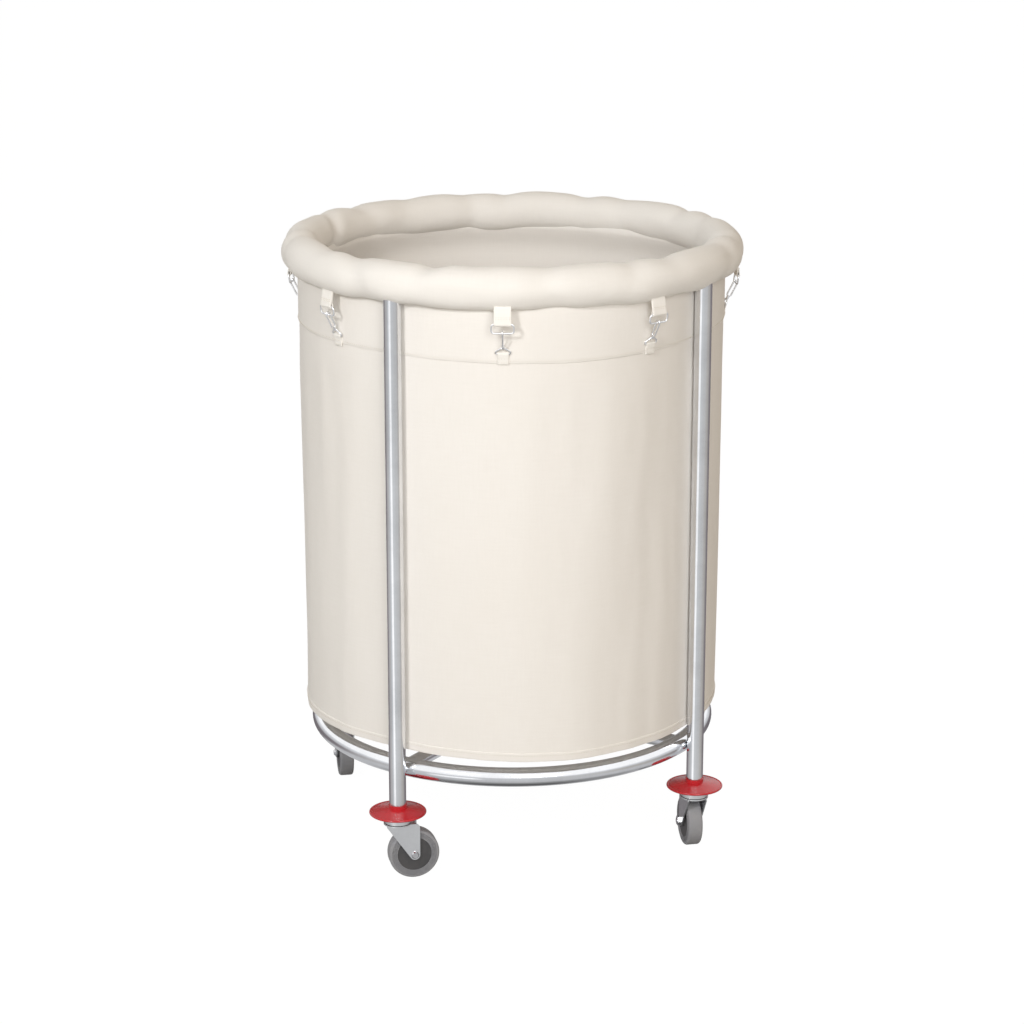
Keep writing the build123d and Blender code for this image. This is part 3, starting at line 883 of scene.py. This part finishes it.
def folded_strap(name, route, width, ply):
    """A strap drawn along its route in the XZ plane and given its thickness, and its length."""
    bpy.ops.object.select_all(action="DESELECT")
    bpy.ops.mesh.primitive_plane_add(size=width, location=(0, 0, 0))
    strap = bpy.context.object
    strap.name = name
    bpy.ops.object.mode_set(mode="EDIT")
    bpy.ops.mesh.select_mode(type="EDGE")
    bpy.ops.mesh.select_all(action="DESELECT")
    bpy.ops.object.mode_set(mode="OBJECT")
    for edge in strap.data.edges:
        edge.select = max(strap.data.vertices[i].co.x for i in edge.vertices) < 0
    bpy.ops.object.mode_set(mode="EDIT")
    bpy.ops.mesh.select_all(action="INVERT")
    bpy.ops.mesh.delete(type="EDGE_FACE")
    bpy.ops.mesh.select_mode(type="VERT")
    bpy.ops.mesh.select_all(action="SELECT")
    bpy.ops.mesh.delete_loose(use_verts=True, use_edges=False, use_faces=False)
    bpy.ops.mesh.select_mode(type="EDGE")
    bpy.ops.mesh.select_all(action="SELECT")
    bpy.ops.mesh.subdivide(number_cuts=6)
    bpy.ops.mesh.select_all(action="SELECT")
    bpy.ops.transform.translate(value=(route[0][0] + width / 2, 0, route[0][1]))
    lengths = [0.0]
    for here, there in zip(route, route[1:]):
        bpy.ops.mesh.extrude_region_move(
            TRANSFORM_OT_translate={"value": (there[0] - here[0], 0, there[1] - here[1])})
        lengths.append(lengths[-1] + math.dist(here, there))
    bpy.ops.object.mode_set(mode="OBJECT")
    layer = strap.data.uv_layers.new(name="cloth")
    for loop in strap.data.loops:
        at = strap.data.vertices[loop.vertex_index].co
        nearest = min(range(len(route)), key=lambda i: math.dist(route[i], (at.x, at.z)))
        layer.data[loop.index].uv = (at.y, lengths[nearest])
    give_ply(strap, ply, rounding=0.0003)
    return strap, lengths[-1]


def half_turn(reach, step):
    """Half a circle round the pivot in steps of so many degrees, from its inner side."""
    angles = [math.radians(180 + step * number) for number in range(13)]
    return [(reach * math.cos(angle), reach * math.sin(angle)) for angle in angles]


def cross_stitch(name, stand, heights, count, proud, lean):
    """Rows of stitches across a tab, at these heights on its stand."""
    across, outward = (stand.to_3x3() @ Vector(axis) for axis in ((0, 1, 0), (1, 0, 0)))
    places = []
    for height in heights:
        for number in range(count):
            aside = stitch_pitch * (number - (count - 1) / 2) + lean * height
            places.append((stand @ Vector((proud, aside, height)), across, outward))
    seam = sew(name, places)
    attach(seam, "root")
    return seam


def webbing_threads(tree, place):
    """Threads counted across the strap and along it, from its own map."""
    chart = tree.nodes.new("ShaderNodeUVMap")
    chart.uv_map = "cloth"
    x, y, z = split_place(tree, chart.outputs["UV"])
    return calc(tree, "DIVIDE", x, 0.0011), calc(tree, "DIVIDE", y, 0.0014)


# Its dull cream is the painted shade in the weave's gaps, and the tone of thinner yarn.
webbing = cotton(
    "cotton_webbing", bright=(0.96, 0.935, 0.895), dull=(0.82, 0.785, 0.73),
    soiled=(0.88, 0.845, 0.785), threads_of=webbing_threads, relief=0.0003)

ring_route = [
    (-0.0009, 0.0380), (-0.0008, 0.0200), (-0.0008, 0.0070), (-0.0012, 0.0042),
    (-0.0019, 0.0018), *half_turn(0.00215, 15), (0.0019, 0.0018), (0.0012, 0.0042),
    (0.0008, 0.0070), (0.0008, 0.0200), (0.0009, 0.0380)]
rim_tab, tab_length = folded_strap("rim_tab", ring_route, width=0.0240, ply=0.0014)
rim_tab.data.materials.append(webbing)

chance = random.Random(7)
for number in clips:
    stand = stand_at("d_ring_swing_%d" % number)
    one = own_copy("rim_tab_%d" % number, rim_tab)
    lean, slide = chance.uniform(-0.03, 0.03), chance.uniform(-0.0004, 0.0004)
    for vertex in one.data.vertices:
        above = max(0.0, vertex.co.z - 0.003)
        vertex.co.y += lean * above + slide * eased(above, 0, 0.01)
        vertex.co.x -= 0.36 * max(0.0, above - 0.010)    # the top leans in under the rim
    one.data.transform(stand)
    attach(one, "root")
    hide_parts("cuff_tabs")
    seam = cross_stitch("rim_tab_seam_%d" % number, stand, (0.0074, 0.0098), 6, 0.0015, lean)
bpy.data.objects.remove(rim_tab)

# ----------------------------------------------------- the bag's tabs and hooks
# Eight narrower tabs are sewn on the band's lower edge. Each holds the eye of a
# spring wire hook in its fold, and the hook clips up into the ring above it.
hook_route = [
    (-0.0014, -0.0152), (-0.0014, -0.0070), (-0.0016, -0.0035), (-0.0018, -0.0012),
    *half_turn(0.00185, -15), (0.0017, -0.0014), (0.0008, -0.0040), (0.0000, -0.0070),
    (-0.0001, -0.0152)]
bag_tab, tab_length = folded_strap("bag_tab", hook_route, width=0.0156, ply=0.0012)
bag_tab.data.materials.append(webbing)
for number in clips:
    stand = stand_at("snap_hook_swing_%d" % number)
    one = own_copy("bag_tab_%d" % number, bag_tab)
    lean = chance.uniform(-0.04, 0.04)
    for vertex in one.data.vertices:
        vertex.co.y += lean * min(0.0, vertex.co.z + 0.003)
    one.data.transform(stand)
    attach(one, "root")
    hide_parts("bag_tabs")
    seam = cross_stitch("bag_tab_seam_%d" % number, stand, (-0.0072, -0.0126), 4, 0.0006, lean)
bpy.data.objects.remove(bag_tab)
